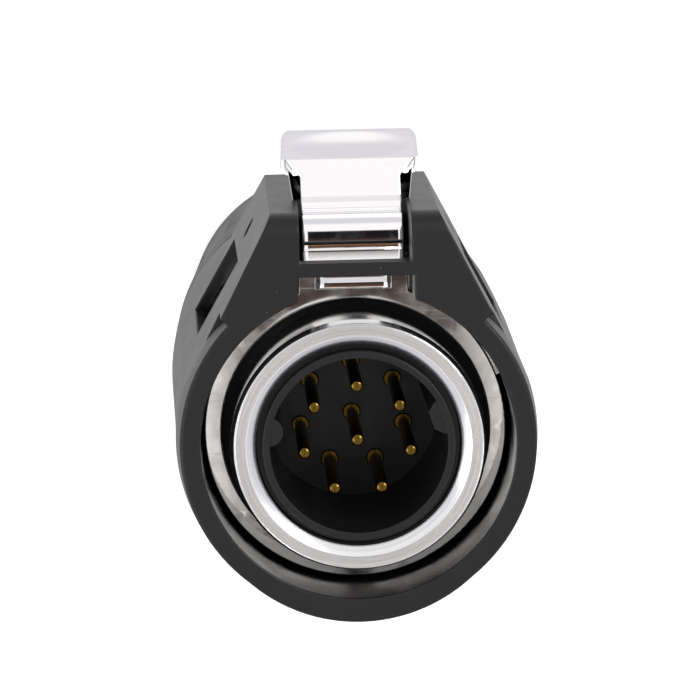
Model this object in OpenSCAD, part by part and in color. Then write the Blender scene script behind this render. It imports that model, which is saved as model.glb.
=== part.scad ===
// Push-pull circular connector: cable plug with eight pins, a sprung latch
// lever and a screw-down cable clamp.  Millimetres.
// The plug stands on its clamp nut: Z runs along the axis, the mating nose is
// up, and the latch side faces -Y.

/* [Mating nose] */
// outside diameter of the metal nose sleeve
nose_od = 20.5; // [17:0.1:25]
// bore diameter of the nose sleeve
nose_bore = 16.5; // [13.5:0.1:20]
// how far the nose stands out of the shell's front face
nose_proud = 0.4; // [0.2:0.1:3]
// width of the open ring between the nose and the shell's mouth
mouth_gap = 2.4; // [2:0.1:3.5]

/* [Shell] */
// length of the moulded front shell
shell_len = 35.2; // [29:0.2:42]
// wall of the shell at its front edge
rim_wall = 1.6; // [1.3:0.05:2.4]
// how much wider in radius the shell is at its widest, near the back
shell_flare = 1.0; // [0.6:0.05:1.8]
// height of the flat crown above the mouth, at the front
crown_rise = 6.05; // [5:0.05:7.2]
// how much deeper the chin under the mouth is than the rest of the rim
chin_drop = 0.4; // [0.2:0.05:0.5]
// share of the shell's length that the crown takes
crown_share = 0.58; // [0.5:0.01:0.65]
// angle of the crown's flanks above the level
flank_angle = 27; // [22:1:32]
// width of the slot the lever lies in
slot_w = 8.9; // [8:0.1:10.5]
// height of the bridge in front of the lever
bridge_h = 1.1; // [0.8:0.05:1.6]
// thickness of that bridge along the axis
bridge_t = 1.6; // [1.2:0.1:2.2]

/* [Contacts] */
// number of contacts on the ring, with one more in the middle
ring_contacts = 7;
// diameter of a contact pin
pin_d = 1.0; // [0.8:0.05:1.3]
// contact ring diameter as a share of the cup's bore
ring_share = 0.62; // [0.52:0.01:0.68]
// depth of the pin tips below the nose face
tip_depth = 2.4; // [1.6:0.1:3.2]
// depth of the cup's floor below the nose face
cup_depth = 13.3; // [11:0.1:16]

/* [Latch] */
// width of the lever where it runs in the slot
lever_w = 8.2; // [6.6:0.1:9.2]
// width of the thumb tab
pad_w = 11.6; // [9.4:0.1:13]
// how far the thumb tab stands above the crown
pad_rise = 5.6; // [4.8:0.1:7]
// width of the locking tooth
tooth_w = 5.5; // [4.6:0.1:6.6]
// diameter of the lever's cross pin
latch_pin_d = 1.6; // [1.3:0.1:2]

/* [Cable clamp] */
// length of the clamp nut
nut_len = 26; // [22:0.2:32]
// largest diameter of the clamp nut
nut_od = 30; // [28:0.1:34]
// number of grip flutes around the nut
nut_flutes = 18; // [12:1:24]
// diameter of the cable hole
cable_d = 10; // [8:0.1:12]

/* [Which piece] */
// name of one piece, or all

/* [Hidden] */
$fn = 96;
e = 0.02;            // small overlap between joined shapes
big = 60;            // larger than the part

// clearances
run_gap = 0.05;      // radial, one piece turning or sliding in another
seat_gap = 0.02;     // radial, a piece seated in its bore
slot_gap = 0.3;      // moving pieces beside fixed walls

// levels along the axis, from the nut's flat end
seam = 0.5;                             // gap between the nut and the shell
z_back = nut_len + seam;                // back of the shell
z_front = z_back + shell_len;           // front face of the shell
z_nose = z_front + nose_proud;          // nose face

// radii from the axis
nose_r = nose_od / 2;
bore_r = nose_bore / 2;
mouth_r = nose_r + mouth_gap;
edge_r = mouth_r + rim_wall;            // front edge of the shell
shoulder_r = edge_r + 0.4;              // end of the front taper
back_r = edge_r + shell_flare;          // widest place of the shell
rim_len = 3.0;                          // length of the front taper
flank_r = edge_r + 0.17;                // distance of the flank planes
flank_draft = 1.15;                     // the flanks open toward the back
step_angle = 44.3;                      // where the crown meets the rim
chin_r = edge_r - 1.05;                 // radius of the chin's curve

// crown, slot and bridge
crown_len = shell_len * crown_share;
crown_y = mouth_r + crown_rise;         // height of the crown at the front
crown_back_y = crown_y + 0.64;
crown_round = 1.75;                      // rounding along the front edge
bridge_y0 = mouth_r + 1.07;
bridge_y1 = bridge_y0 + bridge_h;
notch_w = slot_w + 0.4;

// chassis
ch_r = mouth_r - 0.3;                   // outside of the chassis tube
ch_lip_r = nose_r + 0.7;                // front lip, beside the nose
ch_z1 = z_front - 5.8;                  // flat front lip
ch_round = 0.15;                        // rounding of its outer edge
ch_z0 = z_back + 2;                     // back end
cheek_z1 = z_front - 6.6;
cheek_z0 = z_front - crown_len - 4.6;
cheek_flank = flank_r - 0.6;
cheek_x = slot_w / 2 + 0.9;             // inner side of the cheeks
cheek_y = crown_y - 1.05;
cheek_low = -1.6;                       // lower end, along the flank

// sleeve and insert
seal_z1 = z_front - 9.2;                 // bottom of the open ring
seal_len = 2;
sl_flange_r = nose_r + 0.95;
sl_back_r = nose_r - 0.3;               // sleeve behind the open ring
ins_r = bore_r - run_gap;
ins_step_r = bore_r + 0.75;             // the sleeve's wider bore
ins_step_z = z_nose - cup_depth + 1.2;
cup_r = bore_r - 1.1;
floor_z = z_nose - cup_depth;
ins_z0 = floor_z - 6.6;                 // back of the insert
ret_z0 = ins_z0 - 3.4;                  // back of the retainer
sl_z0 = ret_z0 - 2.8;                   // back end of the sleeve
ring_r = cup_r * ring_share;
shank_r = pin_d / 2 + 0.22;
cup_end_r = pin_d / 2 + 0.4;            // solder end
tip_z = z_nose - tip_depth;

// latch lever, as heights above the axis and depths behind the front face
pin_depth = 11.8;
pin_y = crown_y - 2.75;
nose_depth = 6.4;                       // centre of the lever's rounded front
lev_y1 = crown_y - 0.7;                 // top of the rounded front
lev_y0 = bridge_y1 - 0.82;              // bottom of the rounded front
lev_round = (lev_y1 - lev_y0) / 2;
tab_z = pin_depth - 3.8;                // depth of the tab's lower front edge
tab_y0 = crown_y + 1.9;                 // lower edge of the tab
tab_y1 = crown_y + pad_rise;            // top of the tab
fold_y = tab_y0 + (tab_y1 - tab_y0) * 0.37;  // fold between strip and dished face
tab_run = (tab_y1 - fold_y) * 0.73;     // how far the dished face leans back
lean = atan2(tab_run, tab_y1 - fold_y - 0.2);
tail_z = crown_len - 3.2;               // back end of the lever's tail
tooth_tip = mouth_r - 0.66;             // lowest point of the tooth
tooth_front = 4.4;
lp_r = latch_pin_d / 2;

// coupler, gland and nut
cp_thread_r = nose_r + 1.35;            // thread in the chassis
cp_z1 = sl_z0;
cp_bore = bore_r + 0.5;
cp_flange_r = ch_r + 0.2;
cp_tail_r = ch_r - 0.55;                // thread under the nut
cp_z0 = nut_len * 0.46;                 // back end of the coupler
gland_r = cp_bore - run_gap;
gland_z1 = nut_len - 5.5;
nut_end = 3.6;                          // thickness of the nut's end wall
washer_t = 1.0;
claw_z0 = nut_end + washer_t;
claw_ring = 2.9;                        // height of the claw's base ring
gland_z0 = claw_z0 + claw_ring;
cable_r = cable_d / 2;
nut_r = nut_od / 2;
nut_bore_r = cp_tail_r + 0.08;

// everything is drawn with the latch toward +Y, then turned to face -Y
module turned() rotate([0, 0, 180]) children();

// a tube standing on z0
module tube(ro, ri, z0, z1) translate([0, 0, z0]) difference() {
  cylinder(r = ro, h = z1 - z0);
  translate([0, 0, -1]) cylinder(r = ri, h = z1 - z0 + 2);
}

// a box centred across the axis: half width, height range, depth range
module slab(hx, y0, y1, d0, d1)
  translate([-hx, y0, z_front - d1]) cube([2 * hx, y1 - y0, d1 - d0]);

// a side profile in depth and height, drawn w wide across the axis
module across(w) translate([-w / 2, 0, z_front]) rotate([0, 90, 0])
  linear_extrude(height = w) children();

// both sides of the plug
module both() for (s = [0, 1]) mirror([s, 0, 0]) children();

// ---- front shell -----------------------------------------------------------

module shell_round() rotate_extrude() polygon([
  [mouth_r - 0.6, z_back], [back_r - 0.5, z_back], [back_r - 0.1, z_back + 0.6],
  [back_r, z_back + shell_len * 0.16], [shoulder_r + 0.1, z_front - shell_len * 0.3],
  [shoulder_r, z_front - rim_len], [edge_r + 0.05, z_front - 0.15],
  [edge_r - 0.1, z_front], [mouth_r + 0.15, z_front], [mouth_r, z_front - 0.15],
  [mouth_r, z_back + 9], [mouth_r, z_back]]);

// the rim is a little deeper under the mouth than beside it
module chin() translate([0, -(edge_r + chin_drop - chin_r), 0]) rotate_extrude()
  polygon([[0, z_front - rim_len - 2.5], [chin_r - 0.6, z_front - rim_len - 2.5],
           [chin_r, z_front - rim_len], [chin_r, z_front - 0.15],
           [chin_r - 0.12, z_front], [0, z_front]]);

module flank_cuts() both() rotate([0, 0, flank_angle])
  translate([flank_r, 0, z_front]) rotate([0, -flank_draft, 0])
    translate([0, -big / 2, -big]) cube([big, big, 2 * big]);

// side profile of the crown: rounded front edge, rising top, steep back
module crown_side() {
  polygon([[0, 4], [0, crown_y - crown_round], [crown_round, crown_y],
           [crown_len - 1.2, crown_back_y], [crown_len + 1.3, crown_back_y - 4.2],
           [crown_len + 1.3, 4]]);
  translate([crown_round, crown_y - crown_round]) circle(r = crown_round);
}

// the wedge above an angle, from the crown's back end to a depth below the front
module crown_wedge(angle, depth) {
  sx = cos(angle); sy = sin(angle); far = 26;
  translate([0, 0, z_front - crown_len - 3]) linear_extrude(height = crown_len + 3 - depth)
    polygon([[mouth_r * sx, mouth_r * sy], [far * sx, far * sy], [0, far * 1.3],
             [-far * sx, far * sy], [-mouth_r * sx, mouth_r * sy]]);
}

// behind the rim the crown reaches further down the flanks
module crown_block() intersection() {
  union() {
    crown_wedge(step_angle, 0);
    crown_wedge(flank_angle - 5, rim_len - 0.3);
  }
  across(big) crown_side();
}

module window() rotate([0, 0, flank_angle]) {
  k = crown_len / 20.4;
  translate([ch_r - 3.2, 0, z_front]) rotate([0, 90, 0]) linear_extrude(height = 12)
    polygon([[7.6 * k, 8.2], [11.1 * k, 0.6], [22.5 * k, 0.6], [18.4 * k, 8.2]]);
}

// one chassis cheek, beside the slot in the crown and low behind it; g grows
// it into the room the shell leaves for it
module cheek(g) intersection() {
  union() {
    translate([cheek_x - g, 0, z_front - crown_len + 2.4 - g])
      cube([big, cheek_y + g, crown_len - 9.0 + 2 * g]);
    translate([0, 0, cheek_z0 - g]) difference() {
      cylinder(r = cheek_flank + 0.4 + g, h = cheek_z1 - cheek_z0 + 2 * g);
      translate([-big, -1, -1]) cube([big + cheek_x - g, big, big]);
    }
  }
  rotate([0, 0, flank_angle]) translate([0, cheek_low - g, 0])
    cube([cheek_flank + g, big, big * 2]);
}

module front_shell() color("#2b2a2e") turned() difference() {
  union() { shell_round(); crown_block(); chin(); }
  flank_cuts();
  translate([0, 0, z_back - 1]) cylinder(r = mouth_r, h = shell_len + 3);
  // slot over the lever and the notch under the bridge
  slab(slot_w / 2, bridge_y1, big, -1, crown_len + 6);
  slab(slot_w / 2, mouth_r - 2, big, bridge_t, crown_len + 1.2);
  slab(notch_w / 2, mouth_r - 2, bridge_y0, -1, bridge_t + 2.6);
  // pockets for the chassis cheeks, windows and pin holes
  both() cheek(0.05);
  both() window();
  translate([0, pin_y, z_front - pin_depth]) rotate([0, 90, 0])
    cylinder(r = lp_r, h = big, center = true);
}

// ---- metal chassis ---------------------------------------------------------

module chassis() color("#cfcac6") turned() difference() {
  union() {
    rotate_extrude() {
      polygon([
        [ch_lip_r, ch_z1 - 0.1], [ch_lip_r + 0.12, ch_z1],
        [ch_r - ch_round, ch_z1], [ch_r, ch_z1 - ch_round],
        [ch_r, z_back + 11], [mouth_r - 0.02, z_back + 10.4], [mouth_r - 0.02, ch_z0],
        [cp_thread_r, ch_z0], [cp_thread_r, cp_z1 + 1], [sl_flange_r + seat_gap, cp_z1 + 1],
        [sl_flange_r + seat_gap, sl_z0 + 2], [sl_back_r + seat_gap, sl_z0 + 2],
        [sl_back_r + seat_gap, seal_z1 - seal_len], [ch_lip_r, seal_z1 - seal_len]]);
      translate([ch_r - ch_round, ch_z1 - ch_round]) circle(r = ch_round);
    }
    both() difference() {
      cheek(0);
      cylinder(r = ch_r - 0.6, h = big * 2);
    }
    // plates under the bridge, beside the tooth
    slab(slot_w / 2 - 0.05, ch_r - 1.1, bridge_y0 - 0.15, z_front - ch_z1, z_front - ch_z1 + 2);
  }
  // inside stays clear
  translate([0, 0, ch_z0 - 1]) cylinder(r = sl_back_r + seat_gap, h = big);
  // pocket for the tooth, and the way for the lever
  slab(tooth_w / 2 + slot_gap, tooth_tip - 0.25, ch_r + 2, 2, 10.2);
  translate([0, pin_y, z_front - pin_depth]) rotate([0, 90, 0])
    cylinder(r = lp_r, h = big, center = true);
}

// ---- nose sleeve, seal and insert ------------------------------------------

module nose_sleeve() color("#d6d4d2") turned() rotate_extrude() polygon([
  [bore_r, z_nose - 0.77], [bore_r + 0.77, z_nose], [nose_r - 0.23, z_nose],
  [nose_r, z_nose - 0.65], [nose_r, seal_z1 + 0.02], [sl_back_r, seal_z1 + 0.02],
  [sl_back_r, sl_z0 + 2], [sl_flange_r, sl_z0 + 2],
  [sl_flange_r, sl_z0], [ins_step_r, sl_z0], [ins_step_r, ins_step_z],
  [bore_r, ins_step_z]]);

module nose_seal() color("#151517") turned()
  tube(ch_lip_r - seat_gap, sl_back_r + seat_gap, seal_z1 - seal_len, seal_z1);

// centre of contact n; the last one stands in the middle
function at_contact(n) = n > ring_contacts ? [0, 0, 0]
  : [ring_r * cos(90 - (n - 1) * 360 / ring_contacts),
     ring_r * sin(90 - (n - 1) * 360 / ring_contacts), 0];

module contact_holes(z0, z1) for (n = [1 : ring_contacts + 1])
  translate(at_contact(n) + [0, 0, z0]) cylinder(r = shank_r + seat_gap, h = z1 - z0);

// the two keys on the cup's wall: a round one and a broad one
module cup_keys() {
  intersection() {
    union() {
      rotate([0, 0, 170]) translate([cup_r + 0.15, 0, floor_z - e])
        cylinder(r = 1.15, h = cup_depth - 0.42 + e);
      rotate([0, 0, 18]) translate([0, 0, floor_z - e])
        linear_extrude(height = cup_depth - 0.42 + e)
          polygon([[cup_r + 0.4, -1.55], [cup_r - 0.35, -1.35], [cup_r - 1.0, -0.75],
                   [cup_r - 1.0, 0.75], [cup_r - 0.35, 1.35], [cup_r + 0.4, 1.55]]);
    }
    translate([0, 0, floor_z - 1]) cylinder(r = cup_r + 0.28, h = cup_depth + 1);
  }
}

module insert_body() color("#26262b") turned() difference() {
  union() {
    rotate_extrude() polygon([
      [0, ins_z0], [ins_step_r - run_gap, ins_z0], [ins_step_r - run_gap, ins_step_z - 0.02],
      [ins_r, ins_step_z - 0.02], [ins_r, z_nose - 1.5], [cup_r + 0.6, z_nose - 1.5],
      [cup_r + 0.6, z_nose - 0.42], [cup_r + 0.5, z_nose - 0.3], [cup_r, z_nose - 0.3],
      [cup_r, floor_z], [0, floor_z]]);
    cup_keys();
  }
  contact_holes(ins_z0 - 1, floor_z + 1);
}

module insert_retainer() color("#2e2e33") turned() difference() {
  translate([0, 0, ret_z0]) cylinder(r = ins_step_r - run_gap, h = ins_z0 - ret_z0);
  contact_holes(ret_z0 - 1, ins_z0 + 1);
}

module lock_ring() color("#b9b6b0") turned() difference() {
  tube(ins_step_r - seat_gap, ins_step_r - 1.6, sl_z0 + 0.4, ret_z0);
  // spanner slots
  translate([-big / 2, -0.8, sl_z0 + 0.3]) cube([big, 1.6, 1.1]);
}

// ---- contacts --------------------------------------------------------------

module contact(n) color("#d9a441") turned() translate(at_contact(n)) difference() {
  r = pin_d / 2; z_end = ret_z0 - 5;
  rotate_extrude($fn = 48) {
    polygon([[0, z_end], [cup_end_r, z_end], [cup_end_r, ret_z0 - 0.05],
             [shank_r, ret_z0 - 0.05], [shank_r, floor_z + 0.08],
             [shank_r - 0.06, floor_z + 0.14], [r, floor_z + 0.14], [r, tip_z - r],
             [0, tip_z - r]]);
    intersection() {
      translate([0, tip_z - r]) circle(r = r);
      translate([0, tip_z - r]) square([r, r]);
    }
  }
  // solder cup, open on one side
  translate([0, 0, z_end - 1]) cylinder(r = cup_end_r - 0.28, h = 4.6, $fn = 48);
  translate([-cup_end_r, 0.15, z_end - 1]) cube([2 * cup_end_r, 2, 3.2]);
}
module contact_1() contact(1);
module contact_2() contact(2);
module contact_3() contact(3);
module contact_4() contact(4);
module contact_5() contact(5);
module contact_6() contact(6);
module contact_7() contact(7);
module contact_8() contact(8);

// ---- latch -----------------------------------------------------------------

// side profile of the lever: rounded front, neck, cross-pin boss and tail
module lever_side() {
  translate([nose_depth, (lev_y1 + lev_y0) / 2]) circle(r = lev_round);
  translate([pin_depth, pin_y]) circle(r = lp_r + 1.05);
  polygon([[nose_depth - 0.1, lev_y1], [nose_depth + 0.35, lev_y1 + 0.22],
           [nose_depth + 0.75, lev_y1 + 0.9], [tab_z - 0.25, tab_y0 - 0.35],
           [tab_z, tab_y0 + 0.2], [tab_z + 1.2, tab_y0 + 0.9], [tab_z + 2.0, tab_y0],
           [tab_z + 3.2, crown_y + 0.35], [pin_depth + 2.2, crown_y - 0.85],
           [tail_z, crown_y - 0.9], [tail_z + 0.3, crown_y - 1.3], [tail_z, crown_y - 1.9],
           [pin_depth + 1.7, pin_y - 0.75], [pin_depth, pin_y - lp_r - 1.05],
           [nose_depth, lev_y0]]);
}

// side profile of the thumb tab, leaning back above its fold
module tab_side() polygon([
  [tab_z + 0.7, tab_y0], [tab_z + 0.6, fold_y], [tab_z + 0.6 + tab_run, tab_y1 - 0.2],
  [tab_z + 0.9 + tab_run, tab_y1], [tab_z + 1.4 + tab_run, tab_y1 - 0.05],
  [tab_z + 1.65 + tab_run, tab_y1 - 0.4], [tab_z + 2.6, tab_y0 + 0.5],
  [tab_z + 2.2, tab_y0], [tab_z + 1.4, tab_y0 - 0.05]]);

// front view of the tab, a little wider at its foot, with rounded corners
module tab_front() translate([0, 0, z_front - tab_z - 6])
  linear_extrude(height = 8) {
    a = pad_w / 2; r = 0.9; q = 0.5;
    for (s = [-1, 1]) {
      translate([s * (a - r), tab_y0 - 0.05 + r]) circle(r = r);
      translate([s * (a - 0.24 - q), tab_y1 - q]) circle(r = q);
    }
    polygon([[-a + r, tab_y0 - 0.05], [a - r, tab_y0 - 0.05], [a, tab_y0 - 0.05 + r],
             [a - 0.24, tab_y1 - q], [a - 0.24 - q, tab_y1], [q + 0.24 - a, tab_y1],
             [0.24 - a, tab_y1 - q], [-a, tab_y0 - 0.05 + r]]);
  }

// the strip in front of the tab, widening from the neck to the fold
module tab_strip() intersection() {
  across(pad_w) polygon([
    [tab_z, tab_y0 + 0.15], [tab_z + 0.55, fold_y], [tab_z + 1.2, fold_y + 0.02],
    [tab_z + 1.2, tab_y0]]);
  translate([0, 0, z_front - tab_z - 6]) linear_extrude(height = 8)
    polygon([[-lever_w / 2, tab_y0 - 0.3], [lever_w / 2, tab_y0 - 0.3],
             [lever_w / 2, tab_y0 + 0.1], [pad_w / 2 - 0.45, fold_y + 0.1],
             [0.45 - pad_w / 2, fold_y + 0.1], [-lever_w / 2, tab_y0 + 0.1]]);
}

// oval dish in the tab's leaning face
module tab_dish() {
  dish = 0.26; small = 2.6; large = 38;
  translate([0, (fold_y + tab_y1 - 0.2) / 2, z_front - tab_z - 0.6 - tab_run / 2])
    rotate([-90 - lean, 0, 0])
      translate([0, dish - large, 0]) rotate_extrude() translate([large - small, 0])
        circle(r = small);
}

module tooth_side() polygon([
  [5.1, lev_y0 + 0.9], [5.1, bridge_y0 - 0.5], [tooth_front, tooth_tip + 0.5],
  [tooth_front, tooth_tip + 0.15], [tooth_front + 0.15, tooth_tip],
  [6.2, tooth_tip], [8.0, tooth_tip + 1.5], [8.6, lev_y0 + 0.6]]);

module latch_lever() color("#d2cecb") turned() difference() {
  union() {
    across(lever_w) lever_side();
    difference() {
      intersection() {
        across(pad_w + 1) tab_side();
        tab_front();
      }
      tab_dish();
    }
    tab_strip();
    across(tooth_w) tooth_side();
  }
  // cross hole and the room for the spring
  translate([0, pin_y, z_front - pin_depth]) rotate([0, 90, 0])
    cylinder(r = lp_r + run_gap, h = big, center = true);
  slab(1.9, 5, pin_y + 1.55, pin_depth - 1.75, pin_depth + 2.2);
  slab(1.3, 5, pin_y + 0.3, pin_depth + 2, pin_depth + 4.1);
}

module latch_pin() color("#a9a6a2") turned() {
  l = (flank_r - pin_y * sin(flank_angle)) / cos(flank_angle) - 0.45;
  translate([0, pin_y, z_front - pin_depth]) rotate([0, 90, 0])
    cylinder(r = lp_r - 0.0, h = 2 * l, center = true);
}

// torsion spring on the cross pin, both legs toward the back
module latch_spring() color("#8f8c88") turned() {
  w = 0.25; m = lp_r + 0.12 + w;
  translate([0, pin_y, z_front - pin_depth]) rotate([0, 90, 0])
    rotate_extrude($fn = 48) for (k = [-2 : 2]) translate([m, k * 0.48])
      circle(r = w, $fn = 20);
  leg([-0.93, pin_y - m, pin_depth - 0.3], [-0.93, ch_r + w, pin_depth + 6.4], w - 0.04);
  leg([0.93, pin_y - m, pin_depth - 0.3], [0.93, pin_y + 0.18, pin_depth + 4.6], w - 0.04);
}

// a straight wire between two points given as x, height and depth
module leg(a, b, w) {
  d = b[2] - a[2]; h = b[1] - a[1]; l = sqrt(d * d + h * h);
  translate([a[0], a[1], z_front - a[2]]) rotate([180 + atan2(h, d), 0, 0])
    cylinder(r = w, h = l, $fn = 24);
}

// ---- back end --------------------------------------------------------------

module rear_coupler() color("#2f2e33") turned() rotate_extrude() difference() {
  polygon([
    [cp_bore, cp_z1], [cp_thread_r - seat_gap, cp_z1], [cp_thread_r - seat_gap, ch_z0],
    [cp_flange_r, ch_z0], [cp_flange_r, nut_len + 0.15], [cp_tail_r, nut_len + 0.15],
    [cp_tail_r, cp_z0 + 0.5], [cp_tail_r - 0.5, cp_z0], [cp_bore + 0.3, cp_z0],
    [cp_bore, cp_z0 + 0.8], [cp_bore, gland_z1], [cp_bore - 1.5, gland_z1],
    [cp_bore - 1.5, gland_z1 + 1.4], [cp_bore, gland_z1 + 2.4]]);
  translate([cp_flange_r - 0.95, ch_z0 - 1.62]) square([2, 1.1]);
}

module coupler_seal() color("#151517") turned() rotate_extrude()
  translate([mouth_r - 0.53, ch_z0 - 1.07]) circle(r = 0.5, $fn = 32);

module cable_gland() color("#3a3a3e") turned() rotate_extrude() polygon([
  [cable_r, gland_z0 + 0.4], [cable_r + 0.4, gland_z0], [gland_r - 1.2, gland_z0],
  [gland_r, gland_z0 + 1.6], [gland_r, gland_z1], [cable_r + 0.4, gland_z1],
  [cable_r, gland_z1 - 0.4]]);

module clamp_claw() color("#d8d5cf") turned() difference() {
  rotate_extrude() polygon([
    [cable_r + 0.3, claw_z0], [cp_tail_r - 0.5, claw_z0], [cp_tail_r - 0.5, gland_z0 + 0.6],
    [cp_tail_r - 1.2, cp_z0 - 0.2], [gland_r + 0.25, cp_z0 - 0.2],
    [gland_r + 0.25, gland_z0 + 1.2], [gland_r - 1.0, gland_z0], [cable_r + 0.3, gland_z0]]);
  for (k = [0 : 5]) rotate([0, 0, k * 30]) translate([-big / 2, -0.4, gland_z0 + 0.2])
    cube([big, 0.8, cp_z0]);
}

module thrust_washer() color("#b4b1ac") turned()
  tube(cp_tail_r - 0.4, cable_r + 0.5, nut_end, claw_z0);

module clamp_nut() color("#2a292d") turned() difference() {
  rotate_extrude() polygon([
    [cable_r + 0.5, 0], [nut_r - 2.4, 0], [nut_r - 1.3, 0.9], [nut_r - 0.9, nut_len * 0.3],
    [nut_r - 0.4, nut_len * 0.62], [nut_r, nut_len * 0.85], [nut_r, nut_len - 0.5],
    [nut_r - 0.5, nut_len],
    [nut_bore_r + 0.4, nut_len], [nut_bore_r, nut_len - 0.4], [nut_bore_r, nut_end],
    [cable_r + 0.5, nut_end]]);
  for (k = [0 : nut_flutes - 1]) rotate([0, 0, (k + 0.5) * 360 / nut_flutes])
    translate([nut_r + 0.55, 0, 2.2]) cylinder(r = 1.5, h = nut_len * 0.66, $fn = 48);
}

front_shell();
chassis();
nose_sleeve();
nose_seal();
insert_body();
insert_retainer();
lock_ring();
contact_1();
contact_2();
contact_3();
contact_4();
contact_5();
contact_6();
contact_7();
contact_8();
latch_lever();
latch_pin();
latch_spring();
rear_coupler();
coupler_seal();
cable_gland();
clamp_claw();
thrust_washer();
clamp_nut();
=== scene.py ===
"""Looks of a push-pull cable plug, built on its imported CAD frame.

Lengths are metres in the plug's own frame: it stands on its clamp nut, Z runs
up the axis to the mating nose, and the latch lever faces -Y.
"""

from __future__ import annotations

import logging
import math
import sys
from collections.abc import Callable, Sequence
from dataclasses import dataclass
from enum import Enum
from functools import cache

import bmesh
import bpy
from mathutils import Matrix, Vector

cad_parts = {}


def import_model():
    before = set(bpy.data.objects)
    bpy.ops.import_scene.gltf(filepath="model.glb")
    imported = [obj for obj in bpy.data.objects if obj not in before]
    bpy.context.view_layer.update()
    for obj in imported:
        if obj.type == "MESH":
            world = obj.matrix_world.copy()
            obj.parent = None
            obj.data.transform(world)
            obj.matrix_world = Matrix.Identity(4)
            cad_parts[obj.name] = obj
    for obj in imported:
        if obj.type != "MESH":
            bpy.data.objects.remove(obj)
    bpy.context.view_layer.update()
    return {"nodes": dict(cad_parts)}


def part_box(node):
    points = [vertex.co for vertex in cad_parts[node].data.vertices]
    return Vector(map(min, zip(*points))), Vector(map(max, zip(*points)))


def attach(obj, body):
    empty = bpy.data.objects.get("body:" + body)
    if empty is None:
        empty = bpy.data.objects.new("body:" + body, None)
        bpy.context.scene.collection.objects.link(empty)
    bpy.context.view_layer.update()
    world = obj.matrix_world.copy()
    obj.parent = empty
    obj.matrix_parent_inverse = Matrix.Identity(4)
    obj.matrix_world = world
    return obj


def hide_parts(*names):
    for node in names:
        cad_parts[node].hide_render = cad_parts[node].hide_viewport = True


log = logging.getLogger("plug")
MM = 0.001
CROWN_ABOVE_PIN = 2.75  # millimetres from the cross pin's axis up to the crown's top
Colour = tuple[float, float, float]
Outline = list[tuple[float, float]]
Sockets = bpy.types.bpy_prop_collection


class Body(Enum):
    """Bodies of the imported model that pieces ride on."""

    PLUG = "plug_body"
    LATCH = "latch"
    TRAVEL = "clamp_travel"
    NUT = "nut"


# ---- node trees -------------------------------------------------------------


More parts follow.
